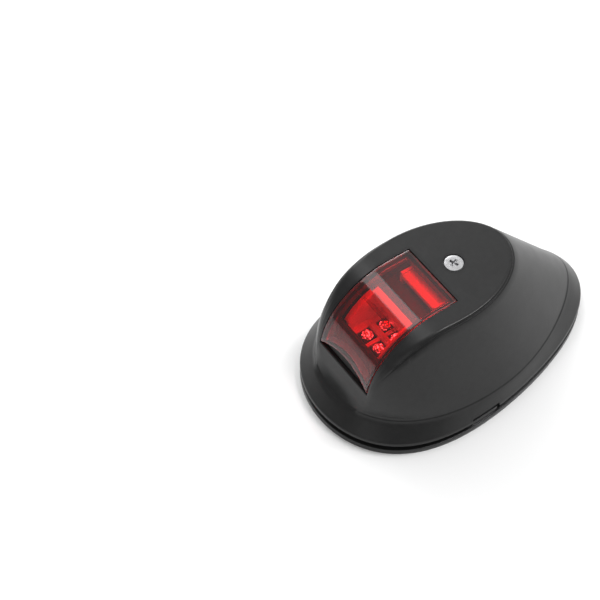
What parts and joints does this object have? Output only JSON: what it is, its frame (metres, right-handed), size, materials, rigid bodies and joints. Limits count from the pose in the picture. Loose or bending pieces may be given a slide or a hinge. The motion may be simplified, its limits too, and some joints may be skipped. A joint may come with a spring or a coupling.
{
  "type": "navigation light",
  "caption": "Side-mount boat navigation light: black wedge shell on an egg-shaped base plate, curved red lens in the nose and a lamp module inside.",
  "frame": {"origin": "centre of the plan outline on the underside of the base plate, the face that lies on the hull", "axes": "+X along the light towards the lens end, +Y across it to the side with the pry notch, +Z out of the hull"},
  "size_m": [0.12, 0.0744, 0.05],
  "materials": {
    "shell": "fine-grained black ABS",
    "lens": "clear red polycarbonate, polished",
    "seal_rubber": "matt black rubber",
    "screw_steel": "bright stainless steel",
    "base_plastic": "dark grey ABS, satin",
    "gasket_foam": "closed-cell foam",
    "insert_brass": "turned",
    "terminal_plastic": "off-white nylon",
    "small_steel": "zinc plated",
    "lead_red": "red wire insulation",
    "lead_black": "black wire insulation",
    "board": "white solder mask",
    "led": "pale body with a clear dome",
    "chip_black": "moulded epoxy",
    "reflector_plastic": "white, semi-gloss",
    "shield_plastic": "black, matt"
  },
  "bodies": {
    "base": {"base_plate": "base_plastic", "base_gasket": "gasket_foam", "cover_seal": "seal_rubber", "threaded_insert": "insert_brass", "wire_grommet": "seal_rubber", "terminal_block": "terminal_plastic", "terminal_screw_1": "small_steel", "terminal_screw_2": "small_steel", "lead_positive": "lead_red", "lead_negative": "lead_black", "led_board": "board", "led_1": "led", "led_2": "led", "led_3": "led", "led_4": "led", "resistor_1": "chip_black", "resistor_2": "chip_black", "polarity_diode": "chip_black", "board_screw_1": "small_steel", "board_screw_2": "small_steel", "reflector": "reflector_plastic", "light_shield": "shield_plastic", "screw_o_ring": "seal_rubber", "rear_baffle": "shield_plastic"},
    "cover": {"housing_cover": "shell", "lens": "lens", "lens_seal": "seal_rubber"},
    "screw": {"cover_screw": "screw_steel"}
  },
  "joints": [
    {"name": "cover_lift", "type": "slide", "parent": "base", "child": "cover", "axis": [0, 0, 1], "range_m": [0, 0.06]},
    {"name": "screw_back_out", "type": "slide", "parent": "cover", "child": "screw", "axis": [0, 0, 1], "range_m": [0, 0.03]}
  ]
}
